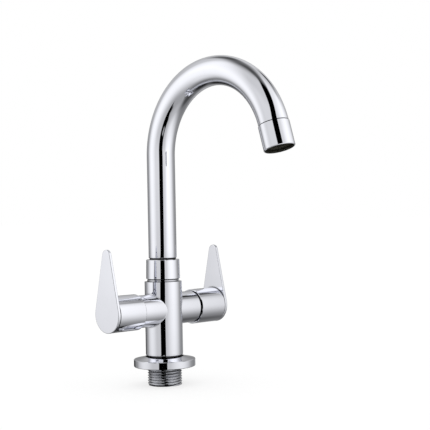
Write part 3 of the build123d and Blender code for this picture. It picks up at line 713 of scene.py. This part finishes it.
def helix_tree():
    """A screw thread: a grid rolled up so that its rows follow the helix, and clamped flat at both ends."""
    tree, given, result = geometry_tree("screw_thread", [
        ("Crest Radius", "NodeSocketFloat", 0.01), ("Depth", "NodeSocketFloat", 0.001),
        ("Crest Width", "NodeSocketFloat", 0.0002), ("Pitch", "NodeSocketFloat", 0.002),
        ("Top", "NodeSocketFloat", 0.0), ("Bottom", "NodeSocketFloat", -0.05),
        ("Fade", "NodeSocketFloat", 0.001), ("Sides", "NodeSocketInt", 96)])
    length = math_node(tree, "SUBTRACT", given["Top"], given["Bottom"])
    pitches = math_node(tree, "DIVIDE", length, given["Pitch"])
    turns = math_node(tree, "ADD", math_node(tree, "CEIL", pitches), 1.0)
    steps = math_node(tree, "MULTIPLY", turns, float(steps_per_turn))
    grid = tree.nodes.new("GeometryNodeMeshGrid")
    grid.inputs["Size X"].default_value = 1.0
    grid.inputs["Size Y"].default_value = 1.0
    link(tree, math_node(tree, "ADD", given["Sides"], 1.0), grid.inputs["Vertices X"])
    link(tree, math_node(tree, "ADD", steps, 1.0), grid.inputs["Vertices Y"])
    axes = split_axes(tree, tree.nodes.new("GeometryNodeInputPosition").outputs[0])
    share = math_node(tree, "ADD", axes["X"], 0.5)
    angle = math_node(tree, "MULTIPLY", share, 2 * math.pi)
    turn = math_node(tree, "MULTIPLY", math_node(tree, "ADD", axes["Y"], 0.5), turns)
    climb = math_node(tree, "ADD", math_node(tree, "SUBTRACT", turn, 1.0), share)
    height = math_node(tree, "ADD", given["Bottom"], math_node(tree, "MULTIPLY", climb, given["Pitch"]))
    height = math_node(tree, "MINIMUM", math_node(tree, "MAXIMUM", height, given["Bottom"]), given["Top"])
    # The ridge rises evenly from the root on both sides and is flat along its crest
    step = math_node(tree, "ROUND", math_node(tree, "MULTIPLY", turn, float(steps_per_turn)))
    share_of_turn = math_node(tree, "DIVIDE", math_node(tree, "ADD", step, 0.001), float(steps_per_turn))
    phase = math_node(tree, "FRACT", share_of_turn)
    from_crest = math_node(tree, "ABSOLUTE", math_node(tree, "SUBTRACT", phase, 0.5))
    half_crest = math_node(tree, "DIVIDE", math_node(tree, "MULTIPLY", given["Crest Width"], 0.5),
                           given["Pitch"])
    ridge = math_node(tree, "DIVIDE", math_node(tree, "SUBTRACT", 0.5, from_crest),
                      math_node(tree, "SUBTRACT", 0.5, half_crest))
    ridge = math_node(tree, "MINIMUM", ridge, 1.0)
    from_top = math_node(tree, "SUBTRACT", given["Top"], height)
    from_bottom = math_node(tree, "SUBTRACT", height, given["Bottom"])
    ends = math_node(tree, "MINIMUM", math_node(tree, "DIVIDE", from_top, given["Fade"]),
                     math_node(tree, "DIVIDE", from_bottom, given["Fade"]))
    ends = math_node(tree, "MINIMUM", ends, 1.0)
    root = math_node(tree, "SUBTRACT", given["Crest Radius"], given["Depth"])
    radius = math_node(tree, "MULTIPLY_ADD", math_node(tree, "MULTIPLY", ridge, ends), given["Depth"], root)
    rolled = tree.nodes.new("GeometryNodeSetPosition")
    link(tree, grid.outputs["Mesh"], rolled.inputs["Geometry"])
    link(tree, join_axes(tree, math_node(tree, "MULTIPLY", radius, math_node(tree, "COSINE", angle)),
                         math_node(tree, "MULTIPLY", radius, math_node(tree, "SINE", angle)), height),
         rolled.inputs["Position"])
    end_tree(tree, rolled.outputs[0], given, result)
    return tree


def gauze_tree():
    """Woven wire in a disc: two crossed sets of straight rows that pass over and under each other."""
    tree, given, result = geometry_tree("wire_gauze", [
        ("Radius", "NodeSocketFloat", 0.01), ("Pitch", "NodeSocketFloat", 0.001),
        ("Wire Radius", "NodeSocketFloat", 0.0001)])
    # As many rows as fit, an odd number, so that one runs through the middle
    half_rows = math_node(tree, "FLOOR", math_node(tree, "DIVIDE", given["Radius"], given["Pitch"]))
    rows = math_node(tree, "MULTIPLY_ADD", half_rows, 2.0, 1.0)
    first = math_node(tree, "MULTIPLY", math_node(tree, "MULTIPLY", half_rows, -1.0), given["Pitch"])
    line = tree.nodes.new("GeometryNodeMeshLine")
    link(tree, rows, line.inputs["Count"])
    link(tree, join_axes(tree, 0.0, first, 0.0), line.inputs["Start Location"])
    link(tree, join_axes(tree, 0.0, given["Pitch"], 0.0), line.inputs["Offset"])
    wire = tree.nodes.new("GeometryNodeMeshLine")
    wire.inputs["Count"].default_value = points_per_wire
    wire.inputs["Start Location"].default_value = (-1.0, 0.0, 0.0)
    wire.inputs["Offset"].default_value = (2.0 / (points_per_wire - 1), 0.0, 0.0)
    placed = tree.nodes.new("GeometryNodeInstanceOnPoints")
    link(tree, line.outputs[0], placed.inputs["Points"])
    link(tree, wire.outputs[0], placed.inputs["Instance"])
    real = tree.nodes.new("GeometryNodeRealizeInstances")
    link(tree, placed.outputs[0], real.inputs[0])
    axes = split_axes(tree, tree.nodes.new("GeometryNodeInputPosition").outputs[0])
    inside = math_node(tree, "SUBTRACT", math_node(tree, "POWER", given["Radius"], 2.0),
                       math_node(tree, "POWER", axes["Y"], 2.0))
    half_length = math_node(tree, "SQRT", math_node(tree, "MAXIMUM", inside, 0.0))
    along = math_node(tree, "MULTIPLY", axes["X"], half_length)
    row = math_node(tree, "ROUND", math_node(tree, "DIVIDE", axes["Y"], given["Pitch"]))
    crossing = math_node(tree, "DIVIDE", along, given["Pitch"])
    wave = math_node(tree, "MULTIPLY", math_node(tree, "ADD", crossing, row), math.pi)
    over = math_node(tree, "COSINE", wave)
    rise = math_node(tree, "MULTIPLY", over, given["Wire Radius"])
    both = tree.nodes.new("GeometryNodeJoinGeometry")
    under = math_node(tree, "MULTIPLY", rise, -1.0)
    for position in (join_axes(tree, along, axes["Y"], rise), join_axes(tree, axes["Y"], along, under)):
        bent = tree.nodes.new("GeometryNodeSetPosition")
        link(tree, real.outputs[0], bent.inputs["Geometry"])
        link(tree, position, bent.inputs["Position"])
        link(tree, bent.outputs[0], both.inputs[0])
    paths = tree.nodes.new("GeometryNodeMeshToCurve")
    link(tree, both.outputs[0], paths.inputs["Mesh"])
    section = tree.nodes.new("GeometryNodeCurvePrimitiveCircle")
    section.inputs["Resolution"].default_value = wire_sides
    link(tree, given["Wire Radius"], section.inputs["Radius"])
    swept = tree.nodes.new("GeometryNodeCurveToMesh")
    link(tree, paths.outputs[0], swept.inputs["Curve"])
    link(tree, section.outputs[0], swept.inputs["Profile Curve"])
    swept.inputs["Fill Caps"].default_value = True
    end_tree(tree, swept.outputs[0], given, result, merge=0.0000001)
    return tree


# Mesh pieces
def finish_piece(obj, body, node, sharp=30):
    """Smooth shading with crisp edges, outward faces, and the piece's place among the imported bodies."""
    mesh = obj.data
    shape = bmesh.new()
    shape.from_mesh(mesh)
    bmesh.ops.remove_doubles(shape, verts=shape.verts, dist=1e-6)
    bmesh.ops.recalc_face_normals(shape, faces=shape.faces)
    shape.to_mesh(mesh)
    shape.free()
    mesh.shade_smooth()
    mesh.set_sharp_from_angle(angle=math.radians(sharp))
    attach(obj, body)
    if node:
        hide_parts(node)


def rounded_corner(corner, start, end, radius, steps):
    """Points of a quarter round in a profile's corner, from the run towards start to the run towards end."""
    back = (Vector(start) - Vector(corner)).normalized() * radius
    ahead = (Vector(end) - Vector(corner)).normalized() * radius
    centre = Vector(corner) + back + ahead
    turns = [math.pi / 2 * i / steps for i in range(steps + 1)]
    return [tuple(centre - ahead * math.cos(turn) - back * math.sin(turn)) for turn in turns]


def spread(start, end, steps):
    """Even points between two profile points, with the ends left out."""
    return [tuple(Vector(start).lerp(Vector(end), i / steps)) for i in range(1, steps)]


def round_column(radius, angle, height):
    """A point round the column's axis."""
    return radius * math.cos(angle), radius * math.sin(angle), height


def rings_of(profile, place, sides):
    """Rings of points round a path, closed on themselves, for profile points (radius, station)."""
    points = [place(radius, 2 * math.pi * j / sides, station)
              for radius, station in profile for j in range(sides)]
    count = len(profile)
    faces = []
    for i in range(count):
        for j in range(sides):
            a, b = i * sides, (i + 1) % count * sides
            faces.append((a + j, a + (j + 1) % sides, b + (j + 1) % sides, b + j))
    return points, faces


def along_spout(radius, angle, station):
    """A point on the spout tube, at a distance along it from its foot."""
    straight = bend_height - tube_foot
    turn = max(0.0, station - straight) / bend_radius
    centre = Vector((0, -bend_radius * (1 - math.cos(turn)), tube_foot + min(station, straight)
                     + bend_radius * math.sin(turn)))
    outward = Vector((0, math.cos(turn), math.sin(turn)))
    return centre + (Vector((1, 0, 0)) * math.cos(angle) + outward * math.sin(angle)) * radius


def spout(material):
    """The swan neck, from the round at its foot to its end in the nozzle."""
    length = bend_height - tube_foot + bend_radius * math.radians(bend_angle)
    straight = bend_height - tube_foot
    inner = tube_radius - tube_wall
    foot_round = rounded_corner((tube_radius, 0), (inner, 0), (tube_radius, length), tube_foot_round,
                                round_steps)
    profile = [(inner, 0.0)] + foot_round
    profile += spread((tube_radius, tube_foot_round), (tube_radius, straight), straight_steps)
    seam = length - seam_width
    profile += [(tube_radius, straight)] + spread((tube_radius, straight), (tube_radius, seam), bend_steps)
    profile += [(tube_radius, seam), (tube_radius - seam_depth, seam), (tube_radius - seam_depth, length)]
    profile += [(inner, length)]
    profile += spread((inner, length), (inner, straight), inner_bend_steps) + [(inner, straight)]
    points, faces = rings_of(profile, along_spout, tube_sides)
    finish_piece(new_object("swan_neck", points, faces, material), "spout", "spout_tube")


def threaded_shank(material):
    """The plain neck in the column, the bore for the hoses and the thread with its run-outs."""
    thread_bottom = shank_low.z + thread_end
    root = thread_radius - thread_depth
    thread = baked_mesh(helix_tree(), {
        "Crest Radius": thread_radius, "Depth": thread_depth, "Crest Width": thread_crest,
        "Pitch": thread_pitch, "Top": 0.0, "Bottom": thread_bottom, "Fade": thread_fade,
        "Sides": thread_sides, "Material": material})
    outline = [(root, thread_bottom), (root, shank_low.z + shank_edge), (root - shank_edge, shank_low.z),
               (shank_bore_radius, shank_low.z), (shank_bore_radius, shank_high.z),
               (shank_neck_radius - shank_edge, shank_high.z), (shank_neck_radius, shank_high.z - shank_edge),
               (shank_neck_radius, 0.0), (root, 0.0)]
    points = []
    faces = []
    for i, (radius, height) in enumerate(outline):
        for j in range(thread_sides):
            points.append(round_column(radius, 2 * math.pi * j / thread_sides, height))
            if i:
                a, b = (i - 1) * thread_sides, i * thread_sides
                k = (j + 1) % thread_sides
                faces.append((a + j, a + k, b + k, b + j))
    shank = new_object("threaded_shank", points, faces, material)
    both = bmesh.new()
    both.from_mesh(shank.data)
    both.from_mesh(thread)
    both.to_mesh(shank.data)
    both.free()
    bpy.data.meshes.remove(thread)
    finish_piece(shank, "body", "shank", sharp=40)


def turned(name, profile, material):
    """A closed ring with a profile of (radius, height), turned round the column's axis."""
    points, faces = rings_of(profile, round_column, turned_sides)
    return new_object(name, points, faces, material)


def base_flange(material):
    """The flange with its gasket's seat, its hollow top and the gap round the column's foot."""
    rim = (flange_radius - flange_edge, flange_rim_height)
    brow = (flange_brow_radius, flange_brow_height)
    top = []
    for i in range(flange_top_steps + 1):
        share = i / flange_top_steps
        radius, height = Vector(rim).lerp(Vector(brow), share)
        top.append((radius, height - flange_hollow * 4 * share * (1 - share)))
    profile = [(flange_bore_radius, flange_high.z), (flange_bore_radius, flange_low.z),
               (gasket_inner_radius, flange_low.z), (gasket_inner_radius, flange_low.z + gasket_thickness),
               (gasket_outer_radius, flange_low.z + gasket_thickness), (gasket_outer_radius, flange_low.z),
               (flange_radius - flange_edge, flange_low.z), (flange_radius, flange_low.z + flange_edge),
               (flange_radius, flange_rim_height - flange_edge), *top,
               (flange_brow_radius, foot_gap_floor), (foot_gap_radius, foot_gap_floor),
               (foot_gap_radius, flange_high.z)]
    finish_piece(turned("dished_flange", profile, material), "body", "base_flange")


def foot_bead(material):
    """The bead that ends the column over the gap, with a round that catches the light."""
    top = (column_radius, bead_high)
    inside = (bead_inner_radius, bead_low)
    corner = rounded_corner((column_radius, bead_low), inside, top, bead_round, round_steps)
    profile = [(bead_inner_radius, bead_high), inside, *corner, top]
    finish_piece(turned("foot_bead", profile, material), "body", None)


def aerator_gauze(material):
    """The woven screen, square to the nozzle in the middle of its place."""
    gauze = baked_mesh(gauze_tree(), {"Radius": screen_radius - 2 * screen_wire_radius, "Pitch": screen_pitch,
                                      "Wire Radius": screen_wire_radius, "Material": material})
    turn = math.radians(bend_angle)
    out = Vector((0, -math.sin(turn), math.cos(turn)))
    across = Vector((1, 0, 0))
    tilt = Matrix((across, out.cross(across), out)).transposed().to_4x4()
    gauze.transform(Matrix.Translation((screen_low + screen_high) / 2) @ tilt)
    piece = bpy.data.objects.new("woven_screen", gauze)
    bpy.context.scene.collection.objects.link(piece)
    finish_piece(piece, "spout", "aerator_screen", sharp=60)


camera()
tent()
light_panel("left_panel", turn=-83.8, distance=0.235, height=0.263, half_width=0.218, half_height=0.652,
            brightness=0.54, lean=0.0)
light_panel("right_panel", turn=65.0, distance=0.223, height=0.131, half_width=0.278, half_height=0.396,
            brightness=0.473, lean=0.63)
floor()
world_light()
bpy.context.scene.view_settings.view_transform = "Standard"

shared = {"surface_marks": surface_marks(), "painted_seam_shade": painted_seam_shade()}
finishes = {
    "polished_chrome": polished_chrome(),
    "brass": turned_brass(),
    "steel": stainless_steel(),
    "black_rubber": black_rubber(),
    "black_plastic": black_plastic(),
    "aerator_plastic": aerator_plastic(),
    "white_ceramic": white_ceramic(),
}
slot_of = {part["node"]: part["material_slot"] for part in frame["record"]["subparts"]}
for name, node in frame["nodes"].items():
    node.data.materials[0] = finishes[slot_of[name]]
spout(finishes["polished_chrome"])
threaded_shank(threaded_chrome())
base_flange(flange_chrome())
foot_bead(finishes["polished_chrome"])
aerator_gauze(finishes["steel"])
